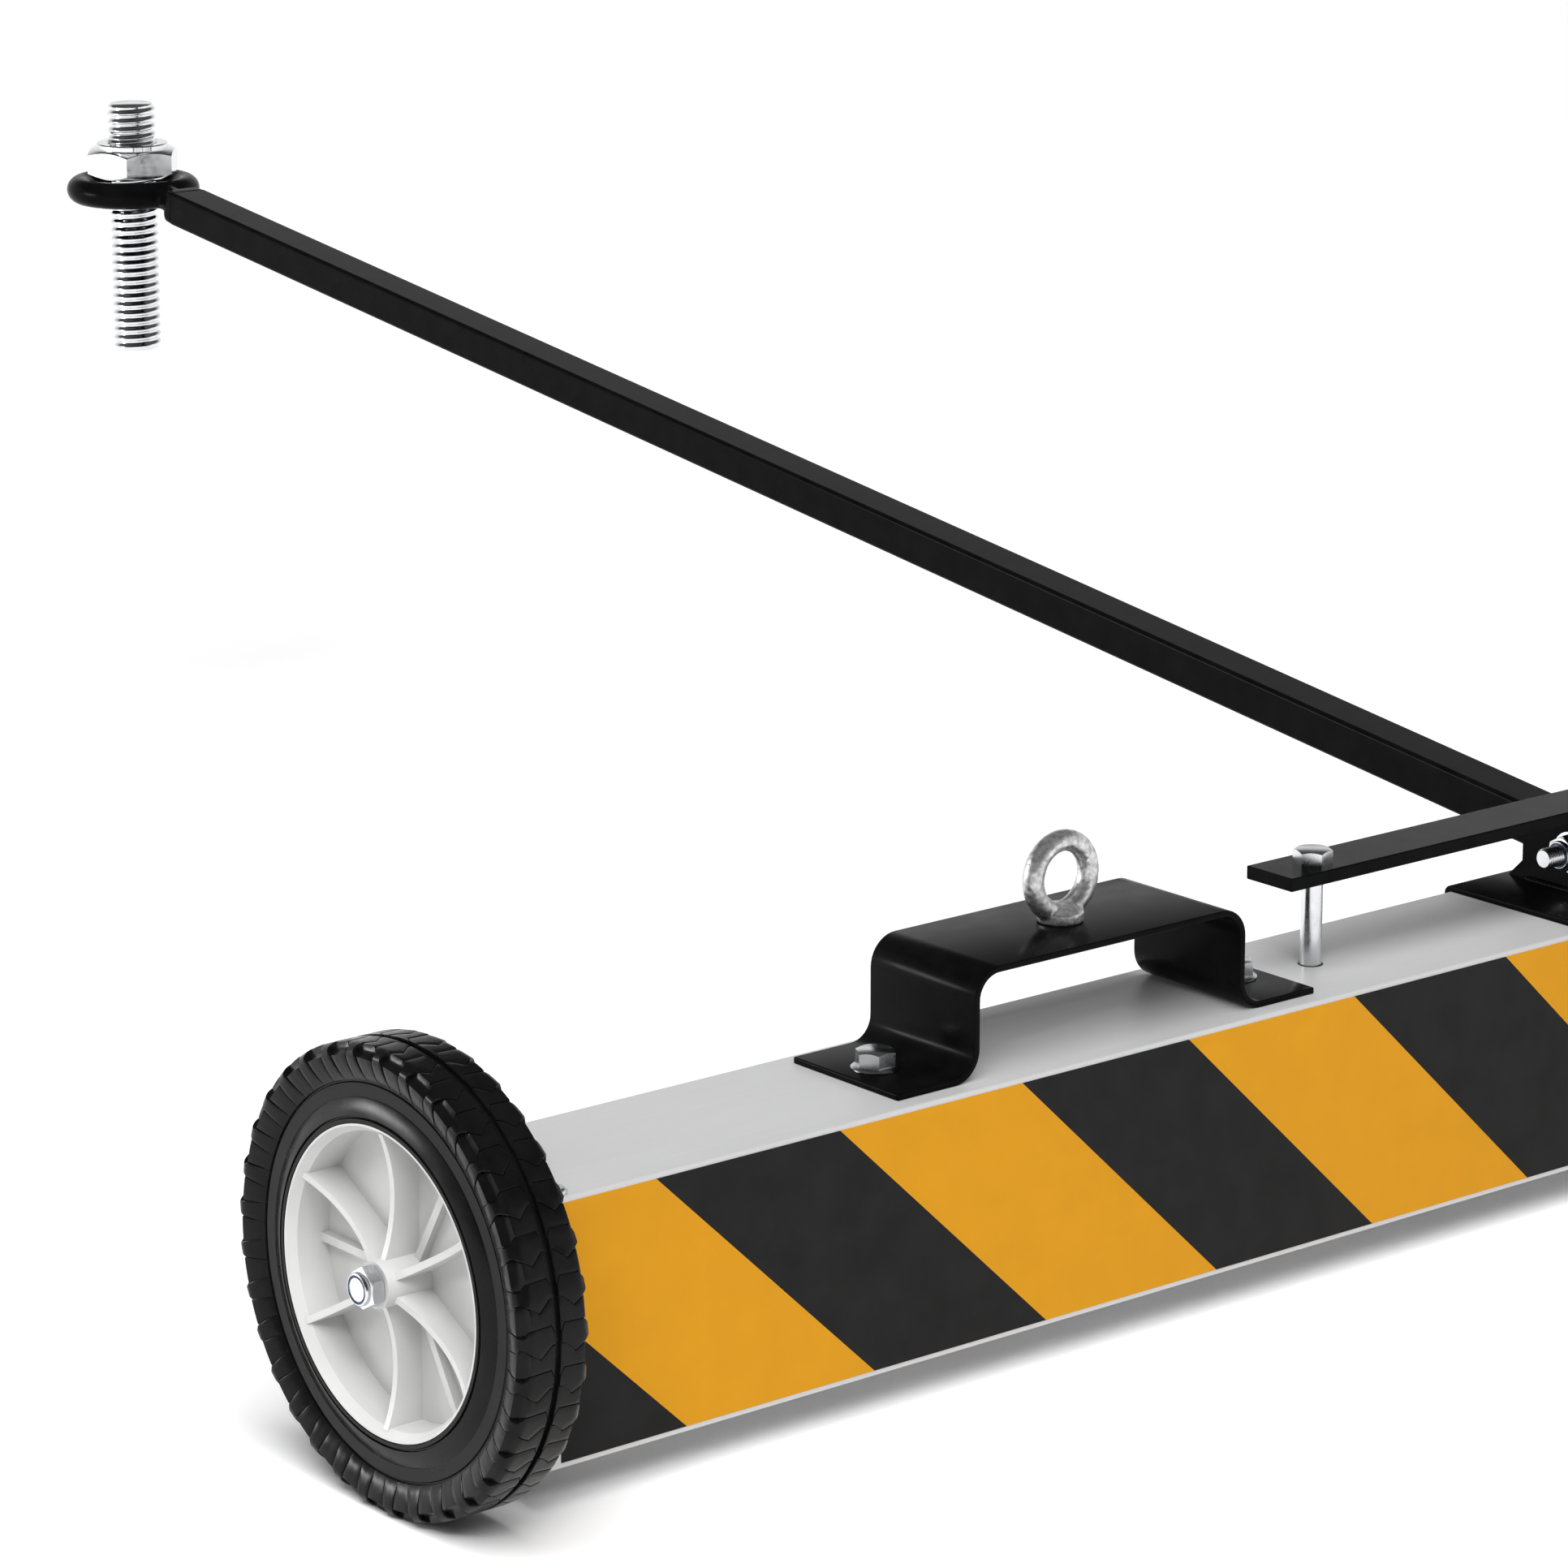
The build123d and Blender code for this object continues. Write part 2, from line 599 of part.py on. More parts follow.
def hitch_nut():
    low = TOW_EYE_Z + HITCH_NUT_LIFT
    high = low + HITCH_NUT_HEIGHT
    nut = hex_z(HITCH_NUT_AF, low, high, 0, TOW_EYE_Y, HITCH_NUT_TURN)
    nut += rod_z(HITCH_COLLAR_R, high, high + HITCH_COLLAR_HEIGHT, 0, TOW_EYE_Y)
    return nut - rod_z(HITCH_UPPER_R + FIT, low - 1, high + 10, 0, TOW_EYE_Y)


def pieces():
    """Every node's name and its solid, before the move to the final origin."""
    nodes = {
        "housing_shell": housing_shell(),
        "bottom_skin": bottom_skin(),
        "end_cap_screws": end_cap_screws(),
        "hazard_label": hazard_label(),
        "eye_nuts": eye_nuts(),
        "bracket_bolts": bracket_bolts(),
        "bracket_nuts": bracket_nuts(),
        "saddle_plate": saddle_plate(),
        "clevis_gussets": clevis_gussets(),
        "pivot_bolt": pivot_bolt(),
        "pivot_nut": pivot_nut(),
        "pivot_washers": pivot_washers(),
        "lift_bar": lift_bar(),
        "magnets": magnets(),
        "magnet_carrier": magnet_carrier(),
        "carrier_nuts": carrier_nuts(),
        "drawbar_tube": drawbar_tube(),
        "pivot_bush": pivot_bush(),
        "tow_eye": tow_eye(),
        "hitch_bolt": hitch_bolt(),
        "hitch_nut": hitch_nut(),
    }
    makers = [end_cap, bracket, eye_bolt, clevis_plate, axle, axle_spacer, axle_nut,
              wheel_hub, hub_bush, tyre, lift_pin, pin_guide]
    for maker in makers:
        for name, side in SIDES.items():
            nodes[f"{maker.__name__}_{name}"] = maker(side)
    return nodes


os.makedirs("parts", exist_ok=True)
for node, shape in pieces().items():
    placed = Pos(0, -PLAN_SHIFT, 0) * shape
    export_step(placed, f"parts/{node}.step")
    print(f"{node}: {placed.volume / 1000:.1f} cm3")
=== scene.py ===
import math

import bmesh
import bpy
from mathutils import Matrix, Vector, noise


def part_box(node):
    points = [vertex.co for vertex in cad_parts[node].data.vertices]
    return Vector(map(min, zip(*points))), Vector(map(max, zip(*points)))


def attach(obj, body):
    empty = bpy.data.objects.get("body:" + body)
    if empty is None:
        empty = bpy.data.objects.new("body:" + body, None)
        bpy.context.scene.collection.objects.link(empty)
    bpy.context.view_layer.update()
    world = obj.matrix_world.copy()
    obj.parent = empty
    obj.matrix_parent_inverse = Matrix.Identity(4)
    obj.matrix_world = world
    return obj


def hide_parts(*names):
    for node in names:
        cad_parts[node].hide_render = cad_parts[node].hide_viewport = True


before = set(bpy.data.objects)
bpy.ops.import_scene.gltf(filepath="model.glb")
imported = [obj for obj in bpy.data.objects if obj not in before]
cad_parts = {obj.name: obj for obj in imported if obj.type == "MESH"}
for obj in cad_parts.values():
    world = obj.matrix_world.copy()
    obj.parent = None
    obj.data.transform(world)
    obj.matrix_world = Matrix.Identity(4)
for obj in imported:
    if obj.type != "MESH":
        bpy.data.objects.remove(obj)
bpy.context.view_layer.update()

# Shapes are built in millimetres, in the frame's own axes, and scaled to metres at the end.
MM = 0.001


def box(node):
    """The two corners of a CAD node, in millimetres."""
    low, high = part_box(node)
    return Vector(low) / MM, Vector(high) / MM


def middle(node):
    low, high = box(node)
    return (low + high) / 2


# Places and sizes that come from the frame
AXLE_Y = middle("housing_shell").y
AXLE_Z = middle("tyre_left").z
WHEEL_R = (box("tyre_left")[1].z - box("tyre_left")[0].z) / 2
TYRE_MID_X = abs(middle("tyre_left").x)
TYRE_HALF = (box("tyre_left")[1].x - box("tyre_left")[0].x) / 2
ROOF_Z = box("housing_shell")[1].z
HITCH_Y = middle("hitch_bolt").y
PIVOT_Z = middle("pivot_bolt").z

# Drawbar and tow ring
DRAWBAR_TILT = math.radians(7.5)
RING_Z = 320.0
RING_MAJOR = 33.5
RING_MINOR = 8.4

# Hardware
HEX_AF = 16.0
HEX_HEAD = 6.4
PIN_HEAD_TURN = 12
BOLT_R = 5.0
BOLT_PITCH = 1.5
NUT_GAP = 0.05
THREAD_OVERLAP = 2
HEX_COUNT = 72
CREST = 0.95

# Straps and plates bent from sheet
STRAP = 3.0
BEND_MIDDLE = 12.5
STRAP_EDGE = 0.8
BRACKET_LEG = 80.3
BRACKET_BOLT = 106.8
SADDLE_BEND = 3.0
EYE_MINOR = 5.0

# Lumpy surfaces: how many times finer the second grain is, and its share
FINE_GRAIN = 2.6
FINE_SHARE = 0.5

SIDES = {"left": -1, "right": 1}


# ---- shapes -------------------------------------------------------------------------------


def move(x, y, z):
    return Matrix.Translation((x, y, z))


def turn(degrees, axis):
    return Matrix.Rotation(math.radians(degrees), 4, axis)


def circle(radius, height, count):
    step = 2 * math.pi / count
    return [(radius * math.cos(i * step), radius * math.sin(i * step), height) for i in range(count)]


def lathe(profile, count=72):
    """Rings about Z from (radius, height) pairs."""
    return [circle(radius, height, count) for radius, height in profile]


def hex_radius(across_flats, i):
    """Distance from the axis to a hexagon's side, with corners at every twelfth step."""
    degrees = (i % 12) * 5 - 30
    return across_flats / 2 / math.cos(math.radians(degrees))


def hex_side(across_flats, height, rise):
    """A ring round a hexagon, lowered or raised at the corners by its 30 degree chamfer."""
    crest = CREST * across_flats / 2
    slope = math.tan(math.radians(30))
    ring = []
    for i in range(HEX_COUNT):
        radius = hex_radius(across_flats, i)
        angle = 2 * math.pi * i / HEX_COUNT
        z = height - rise * max(0.0, radius - crest) * slope
        ring.append((radius * math.cos(angle), radius * math.sin(angle), z))
    return ring


def hex_rings(across_flats, low, high, chamfer_low=False):
    """A hexagon head or nut body, chamfered on top and, if asked, underneath."""
    crest = CREST * across_flats / 2
    rings = [circle(crest, low, HEX_COUNT)] if chamfer_low else []
    rings.append(hex_side(across_flats, low, -1 if chamfer_low else 0))
    rings.append(hex_side(across_flats, high, 1))
    rings.append(circle(crest, high, HEX_COUNT))
    return rings


def thread_rings(radius, pitch, low, high, count=64, rows_per_turn=10, depth_share=0.5):
    """A threaded rod with a rounded thread, chamfered at both ends."""
    depth = depth_share * pitch
    lead = 1.2 * depth
    rows = math.ceil((high - low) / pitch * rows_per_turn)
    rings = []
    for row in range(rows + 1):
        z = low + (high - low) * row / rows
        limit = radius - lead + min(z - low, high - z)
        ring = []
        for i in range(count):
            phase = (z / pitch - i / count) % 1.0
            slant = 0.5 - 0.5 * math.cos(2 * math.pi * phase)
            reach = min(radius - depth * slant, limit)
            angle = 2 * math.pi * i / count
            ring.append((reach * math.cos(angle), reach * math.sin(angle), z))
        rings.append(ring)
    return rings


def section(thickness, width, corner, steps=3):
    """A rounded rectangle as pairs: across the sheet, along its width."""
    points = []
    for quarter, (side_t, side_w) in enumerate(((1, 1), (-1, 1), (-1, -1), (1, -1))):
        centre_t = side_t * (thickness / 2 - corner)
        centre_w = side_w * (width / 2 - corner)
        for i in range(steps + 1):
            angle = math.radians(90 * quarter + 90 * i / steps)
            points.append((centre_t + corner * math.cos(angle), centre_w + corner * math.sin(angle)))
    return points


def bent_line(corners, radius, steps=10):
    """A line in the XZ plane through the corners, with each one rounded."""
    corners = [Vector((x, 0, z)) for x, z in corners]
    line = [corners[0]]
    for before, corner, after in zip(corners, corners[1:], corners[2:]):
        a = (before - corner).normalized()
        b = (after - corner).normalized()
        half = a.angle(b) / 2
        centre = corner + (a + b).normalized() * radius / math.sin(half)
        start = corner + a * radius / math.tan(half) - centre
        end = corner + b * radius / math.tan(half) - centre
        spread = start.angle(end)
        for i in range(steps + 1):
            t = i / steps
            arm = start * math.sin((1 - t) * spread) + end * math.sin(t * spread)
            line.append(centre + arm / math.sin(spread))
    line.append(corners[-1])
    return line


def ribbon_rings(line, thickness, width, corner):
    """Rings of a flat strap that follows a line in the XZ plane. Its end corners are rounded."""
    ends = []
    for distance in (0.0, 0.15, 0.5, 1.0):
        ends.append((distance * corner, corner - math.sqrt(max(0.0, 1 - (1 - distance) ** 2)) * corner))
    first = (line[1] - line[0]).normalized()
    last = (line[-2] - line[-1]).normalized()
    stations = [(line[0] + first * far, shrink) for far, shrink in ends]
    stations += [(point, 0.0) for point in line[1:-1]]
    stations += [(line[-1] + last * far, shrink) for far, shrink in reversed(ends)]
    rings = []
    for i, (point, shrink) in enumerate(stations):
        before = stations[max(0, i - 1)][0]
        after = stations[min(len(stations) - 1, i + 1)][0]
        along = (after - before).normalized()
        across = Vector((-along.z, 0, along.x))
        shape = section(thickness - 2 * shrink * 0.8, width - 2 * shrink, corner * 0.8)
        rings.append([point + across * t + Vector((0, w, 0)) for t, w in shape])
    return rings


class Form:
    """A mesh under construction, in millimetres."""

    def __init__(self):
        self.mesh = bmesh.new()

    def skin(self, rings, place=Matrix(), loop=False, caps=True, finish=0):
        """Joins rings of points into a closed surface."""
        rows = [[self.mesh.verts.new(place @ Vector(point)) for point in ring] for ring in rings]
        pairs = list(zip(rows, rows[1:]))
        if loop:
            pairs.append((rows[-1], rows[0]))
        count = len(rows[0])
        for low, high in pairs:
            for i in range(count):
                j = (i + 1) % count
                self.mesh.faces.new((low[i], low[j], high[j], high[i])).material_index = finish
        if caps and not loop:
            self.mesh.faces.new(rows[0]).material_index = finish
            self.mesh.faces.new(rows[-1]).material_index = finish
        return self

    def object(self, name, materials, sharp=32):
        bmesh.ops.recalc_face_normals(self.mesh, faces=self.mesh.faces)
        bmesh.ops.scale(self.mesh, vec=(MM, MM, MM), verts=self.mesh.verts)
        data = bpy.data.meshes.new(name)
        self.mesh.to_mesh(data)
        self.mesh.free()
        for material in materials:
            data.materials.append(material)
        data.shade_smooth()
        data.set_sharp_from_angle(angle=math.radians(sharp))
        piece = bpy.data.objects.new(name, data)
        bpy.context.collection.objects.link(piece)
        return piece


def belong(piece, body, slot, *nodes):
    """Gives a finished piece its body and hides the CAD nodes that it stands for. The slot is not used."""
    if nodes:
        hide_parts(*nodes)
    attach(piece, body)


def melt(piece, voxel, smooth, grain, grain_size):
    """Runs the parts of a piece together as one casting, and roughens its skin."""
    remesh = piece.modifiers.new("melt", "REMESH")
    remesh.mode = "VOXEL"
    remesh.voxel_size = voxel * MM
    soften = piece.modifiers.new("soften", "SMOOTH")
    soften.iterations = smooth
    bpy.context.view_layer.update()
    graph = bpy.context.evaluated_depsgraph_get()
    data = bpy.data.meshes.new_from_object(piece.evaluated_get(graph))
    piece.modifiers.clear()
    for vertex in data.vertices:
        lump = noise.noise(vertex.co / (grain_size * MM))
        lump += FINE_SHARE * noise.noise(vertex.co / (grain_size * MM / FINE_GRAIN))
        vertex.co -= vertex.normal * grain * MM * (0.5 + 0.5 * lump)
    data.shade_smooth()
    piece.data = data


# ---- materials ----------------------------------------------------------------------------


class Finish:
    """A procedural material. Uniform values go straight onto the shader's sockets."""

    def __init__(self, name, colour, roughness, metallic=0.0):
        self.material = bpy.data.materials.new(name)
        self.material.use_nodes = True
        self.tree = self.material.node_tree
        self.shader = self.tree.nodes["Principled BSDF"]
        self.shader.inputs["Base Color"].default_value = (*colour, 1)
        self.shader.inputs["Roughness"].default_value = roughness
        self.shader.inputs["Metallic"].default_value = metallic
        self.material.diffuse_color = (*colour, 1)
        self.where = self.tree.nodes.new("ShaderNodeTexCoord").outputs["Object"]

    def set(self, **values):
        for name, value in values.items():
            self.shader.inputs[name.replace("_", " ")].default_value = value
        return self

    def noise(self, scale, stretch=(1, 1, 1), detail=4):
        """Noise with that many features to the metre, stretched where the factor is small."""
        mapping = self.tree.nodes.new("ShaderNodeMapping")
        mapping.inputs["Scale"].default_value = stretch
        self.tree.links.new(self.where, mapping.inputs["Vector"])
        texture = self.tree.nodes.new("ShaderNodeTexNoise")
        texture.inputs["Scale"].default_value = scale
        texture.inputs["Detail"].default_value = detail
        self.tree.links.new(mapping.outputs["Vector"], texture.inputs["Vector"])
        return texture.outputs["Fac"]

    def spread(self, factor, low, high, start=0.3, end=0.7):
        node = self.tree.nodes.new("ShaderNodeMapRange")
        node.inputs["From Min"].default_value = start
        node.inputs["From Max"].default_value = end
        node.inputs["To Min"].default_value = low
        node.inputs["To Max"].default_value = high
        self.tree.links.new(factor, node.inputs["Value"])
        return node.outputs["Result"]

    def roughen(self, factor, low, high):
        self.tree.links.new(self.spread(factor, low, high), self.shader.inputs["Roughness"])
        return self

    def tint(self, factor, dark, light, start=0.3, end=0.7):
        ramp = self.tree.nodes.new("ShaderNodeValToRGB")
        ramp.color_ramp.elements[0].color = (*dark, 1)
        ramp.color_ramp.elements[0].position = start
        ramp.color_ramp.elements[1].color = (*light, 1)
        ramp.color_ramp.elements[1].position = end
        self.tree.links.new(factor, ramp.inputs["Fac"])
        self.tree.links.new(ramp.outputs["Color"], self.shader.inputs["Base Color"])
        return self

    def bump(self, factor, depth_mm, strength=0.5):
        node = self.tree.nodes.new("ShaderNodeBump")
        node.inputs["Strength"].default_value = strength
        node.inputs["Distance"].default_value = depth_mm * MM
        self.tree.links.new(factor, node.inputs["Height"])
        self.tree.links.new(node.outputs["Normal"], self.shader.inputs["Normal"])
        return self


def grey(value):
    return (value, value, value * 1.01)


def aluminium():
    finish = Finish("satin_aluminium", grey(0.6), 0.42, 0.2)
    lines = finish.noise(900, (0.02, 1, 1), 6)
    finish.tint(finish.noise(14, (0.3, 1, 1)), grey(0.49), grey(0.53))
    return finish.roughen(lines, 0.38, 0.5).bump(lines, 0.02, 0.25).material


def brushed_steel(name, value):
    finish = Finish(name, grey(value), 0.35, 1.0)
    lines = finish.noise(1200, (0.03, 1, 1), 6)
    finish.tint(finish.noise(30), grey(value * 0.85), grey(value))
    return finish.roughen(lines, 0.28, 0.5).bump(lines, 0.03, 0.3).material


def film(name, colour, worn):
    finish = Finish(name, colour, 0.4)
    finish.set(Specular_IOR_Level=0.06)
    finish.tint(finish.noise(45, (1, 1, 1), 8), colour, worn)
    fine = finish.noise(700)
    return finish.roughen(finish.noise(60), 0.3, 0.42).bump(fine, 0.012, 0.2).material


def black_paint():
    finish = Finish("black_powder_coat", grey(0.003), 0.2)
    finish.set(Specular_IOR_Level=0.03)
    finish.tint(finish.noise(70), grey(0.002), grey(0.004))
    peel = finish.noise(850, detail=2)
    return finish.roughen(finish.noise(90), 0.16, 0.24).bump(peel, 0.008, 0.15).material


def zinc():
    finish = Finish("bright_zinc", (0.66, 0.67, 0.70), 0.22, 1.0)
    finish.tint(finish.noise(120), (0.68, 0.69, 0.71), (0.76, 0.77, 0.79))
    fine = finish.noise(1200)
    return finish.roughen(finish.noise(150), 0.2, 0.3).bump(fine, 0.004, 0.15).material


def galvanised():
    finish = Finish("cast_galvanised", grey(0.5), 0.45, 0.9)
    finish.tint(finish.noise(420, detail=6), grey(0.42), grey(0.86))
    fine = finish.noise(1300, detail=6)
    return finish.roughen(finish.noise(500), 0.25, 0.5).bump(fine, 0.1, 0.5).material


def chrome():
    finish = Finish("bright_chrome", (0.80, 0.81, 0.83), 0.1, 1.0)
    fine = finish.noise(1500)
    return finish.roughen(finish.noise(160), 0.05, 0.12).bump(fine, 0.003, 0.1).material


def rubber():
    finish = Finish("moulded_rubber", grey(0.004), 0.25)
    finish.set(Specular_IOR_Level=0.13)
    finish.tint(finish.noise(55, detail=8), grey(0.003), grey(0.006))
    fine = finish.noise(1800, detail=5)
    return finish.roughen(finish.noise(110), 0.17, 0.3).bump(fine, 0.01, 0.2).material


def hub_plastic():
    finish = Finish("off_white_plastic", (0.57, 0.57, 0.565), 0.4)
    finish.tint(finish.noise(35), (0.54, 0.54, 0.535), (0.59, 0.59, 0.585))
    fine = finish.noise(1400)
    return finish.roughen(finish.noise(180), 0.34, 0.48).bump(fine, 0.025, 0.3).material


def nylon():
    finish = Finish("nylon_insert", (0.05, 0.09, 0.2), 0.4)
    return finish.tint(finish.noise(900), (0.04, 0.07, 0.16), (0.07, 0.11, 0.24)).material


def dull(name, value, roughness):
    finish = Finish(name, grey(value), roughness)
    finish.tint(finish.noise(120, detail=6), grey(value * 0.8), grey(value * 1.2))
    return finish.bump(finish.noise(1500), 0.04, 0.4).material


MATERIALS = {
    "housing_aluminium": aluminium(),
    "skin_steel": brushed_steel("brushed_skin", 0.62),
    "black_paint": black_paint(),
    "zinc_hardware": zinc(),
    "cast_galvanised": galvanised(),
    "hitch_chrome": chrome(),
    "tyre_rubber": rubber(),
    "hub_plastic": hub_plastic(),
    "bush_plastic": dull("black_acetal", 0.04, 0.35),
    "ferrite": dull("sintered_ferrite", 0.09, 0.6),
    "carrier_steel": brushed_steel("plated_carrier", 0.55),
}
YELLOW = film("label_yellow", (0.56, 0.254, 0.0095), (0.53, 0.24, 0.0095))
BLACK = film("label_black", grey(0.010), grey(0.014))
NYLON = nylon()


# ---- tyres --------------------------------------------------------------------------------

# The pattern repeats every pitch: a narrow and a wide tile, with a thin cross groove after each.
# Angles are in degrees, lengths in millimetres.
TYRE_PITCHES = 33
TYRE_PITCH = 360 / TYRE_PITCHES

# In degrees: half a cross groove, the thinnest tile that stands up, and half of what a thinner one becomes
GROOVE_HALF = 0.12
TILE_LEAST = 0.9
HAIRLINE_HALF = 0.1

# Groove depths, and what is added to them half-way round the shoulder
CROWN_DEPTH = 0.6
CENTRE_DEPTH = 2.0
SIDEWALL_DEPTH = 1.0
SHOULDER_STEP = 1.9

# Share of the depth by which the wide tile stands up there. The narrow one stands up all the way.
LOW_SHOULDER = 0.15
LOW_FLANK = 0.75

# Share of its height that a tile loses towards its far end, like a saw tooth
SAW_FLANK = 0.2
SAW_SHOULDER = 0.15

# Bead: distance in from the outer face, and radius
BEAD = [(2.1, 66.6), (1.5, 67.0), (1.5, 68.5), (2.7, 68.9), (2.7, 69.4), (1.7, 69.7), (1.8, 70.3),
        (3.9, 76.6), (4.4, 77.3), (4.5, 82.9), (5.1, 83.4), (5.1, 83.9)]

# Foot of the lugs: its radius, and the angles of the two cross grooves there
LUG_FOOT_R = 84.2
FOOT_A = 68.4
FOOT_B = 73.5 - TYRE_PITCH

# Flank: distance in from the outer face, height above the foot, and share of the full depth
FLANK = [(4.2, 0.0, 0.0), (3.2, 1.4, 0.2), (2.0, 3.8, 0.5), (0.9, 6.8, 0.8), (0.2, 9.2, 1.0)]
SHOULDER_R = 5.0
SHOULDER_ANGLES = (70, 55, 40, 25, 10)
CROWN_EDGE_ANGLE = 20

# Crown and central groove: distances from the mid-plane. In the groove, also how far the wide tile stands up.
CROWN_OFFSETS = (12.4, 11.0, 9.8, 8.6, 7.4, 6.2, 5.0, 3.9, 3.3, 2.6, 2.1, 1.75)
CENTRE_GROOVE = ((1.45, 0.85), (1.3, 0.0), (0.0, 0.0))


def between(points, t):
    """Straight-line interpolation through (place, value) pairs."""
    for (t0, v0), (t1, v1) in zip(points, points[1:]):
        if t <= t1:
            return v0 + (v1 - v0) * max(0.0, t - t0) / (t1 - t0)
    return points[-1][1]


def groove_a(t):
    """Angle of the first cross groove, at a distance from the tyre's mid-plane."""
    return between([(0, 65.8), (3.3, 69.8), (13.5, 69.5), (16.1, 67.9), (17.5, 68.2)], t)


def groove_b(t):
    """Angle of the second cross groove."""
    return between([(0, 65.2), (3.3, 64.9), (8.6, 62.2), (16.3, 64.7)], t)


def tile_columns(left, right):
    """Places across a tile, each with how far up its flank and how far along the tile it is."""
    left += GROOVE_HALF
    right -= GROOVE_HALF
    if right - left < TILE_LEAST:
        centre = (left + right) / 2
        left = centre - HAIRLINE_HALF
        right = centre + HAIRLINE_HALF
    width = right - left
    edges = [(0, 0.0), (min(0.06, width * 0.1), 0.8), (min(0.3, width * 0.2), 1.0)]
    inner = [(width * share, 1.0) for share in (0.35, 0.5, 0.65)]
    places = edges + inner + [(width - far, level) for far, level in reversed(edges)]
    return [(left + far, level, far / width) for far, level in places]


def tyre_ring(offset, radius, lean, depth, a, b, narrow, wide, saw=0.0):
    """One ring of the tyre. Its narrow and wide tiles are raised or not, and may slope like saw teeth."""
    ring = []
    for number in range(TYRE_PITCHES):
        for left, right, raised in ((b, a, narrow), (a, b + TYRE_PITCH, wide)):
            for place, level, along in tile_columns(left, right):
                drop = depth * (1 - level * raised * (1 - saw * along))
                out = radius - drop * math.cos(lean)
                angle = math.radians(place + number * TYRE_PITCH)
                side = offset - drop * math.sin(lean)
                ring.append((side, -out * math.cos(angle), out * math.sin(angle)))
    return ring


def bead_rings():
    return [tyre_ring(TYRE_HALF - inset, radius, 0, 0, FOOT_A, FOOT_B, 0, 0) for inset, radius in BEAD]


def flank_rings():
    """From the foot of the lugs up to the shoulder."""
    rows = [(TYRE_HALF - inset, LUG_FOOT_R + rise, share) for inset, rise, share in FLANK]
    rows.append((TYRE_HALF, WHEEL_R - SHOULDER_R, 1.0))
    rings = []
    for offset, radius, share in rows:
        up = (radius - LUG_FOOT_R) / (WHEEL_R - LUG_FOOT_R)
        a = FOOT_A + (groove_a(TYRE_HALF) - FOOT_A) * up
        b = FOOT_B + (groove_b(TYRE_HALF) - FOOT_B) * up
        depth = SIDEWALL_DEPTH * share
        rings.append(tyre_ring(offset, radius, math.pi / 2, depth, a, b, 1, LOW_FLANK, SAW_FLANK))
    return rings


def shoulder_rings():
    """Round the shoulder, where the narrow tile stands up as a lug."""
    rings = []
    for degrees in SHOULDER_ANGLES:
        lean = math.radians(degrees)
        offset = TYRE_HALF - SHOULDER_R + SHOULDER_R * math.sin(lean)
        radius = WHEEL_R - SHOULDER_R + SHOULDER_R * math.cos(lean)
        depth = CROWN_DEPTH + (SIDEWALL_DEPTH - CROWN_DEPTH) * math.sin(lean)
        depth += SHOULDER_STEP * math.sin(2 * lean)
        wide = 1 if degrees < CROWN_EDGE_ANGLE else LOW_SHOULDER
        a = groove_a(offset)
        b = groove_b(offset)
        rings.append(tyre_ring(offset, radius, lean, depth, a, b, 1, wide, SAW_SHOULDER))
    return rings


def crown_rings():
    """Across the tread, then down into the groove round the middle."""
    rings = []
    for offset in CROWN_OFFSETS:
        a = groove_a(offset)
        b = groove_b(offset)
        narrow = a - b - 2 * GROOVE_HALF >= TILE_LEAST
        rings.append(tyre_ring(offset, WHEEL_R, 0, CROWN_DEPTH, a, b, narrow, 1))
    for offset, raised in CENTRE_GROOVE:
        a = groove_a(offset)
        b = groove_b(offset)
        rings.append(tyre_ring(offset, WHEEL_R, 0, CENTRE_DEPTH, a, b, 0, raised))
    return rings


def tyre(name, side):
    outer = bead_rings() + flank_rings() + shoulder_rings() + crown_rings()
    inner = [[(-x, y, z) for x, y, z in ring] for ring in reversed(outer[:-1])]
    place = move(side * TYRE_MID_X, AXLE_Y, AXLE_Z) @ Matrix.Scale(side, 4, (1, 0, 0))
    form = Form().skin(outer + inner, place, loop=True)
    piece = form.object(f"tyre_tread_{name}", [MATERIALS["tyre_rubber"]], sharp=28)
    belong(piece, f"wheel_{name}", "tyre_rubber", f"tyre_{name}")


# ---- label --------------------------------------------------------------------------------

STRIPE_START = -609.6
STRIPE_BLACK = 98.6
STRIPE_YELLOW = 102.7
STRIPE_SHIFT = 118.0
STRIPE_PAIRS = range(-2, 8)


def clipped(points, edge, keep):
    """The part of an outline in X and Z on one side of an upright line at X = edge."""
    kept = []
    for (x0, z0), (x1, z1) in zip(points, points[1:] + points[:1]):
        if (x0 - edge) * keep >= 0:
            kept.append((x0, z0))
        if (x0 - edge) * (x1 - edge) < 0:
            kept.append((edge, z0 + (z1 - z0) * (edge - x0) / (x1 - x0)))
    return kept


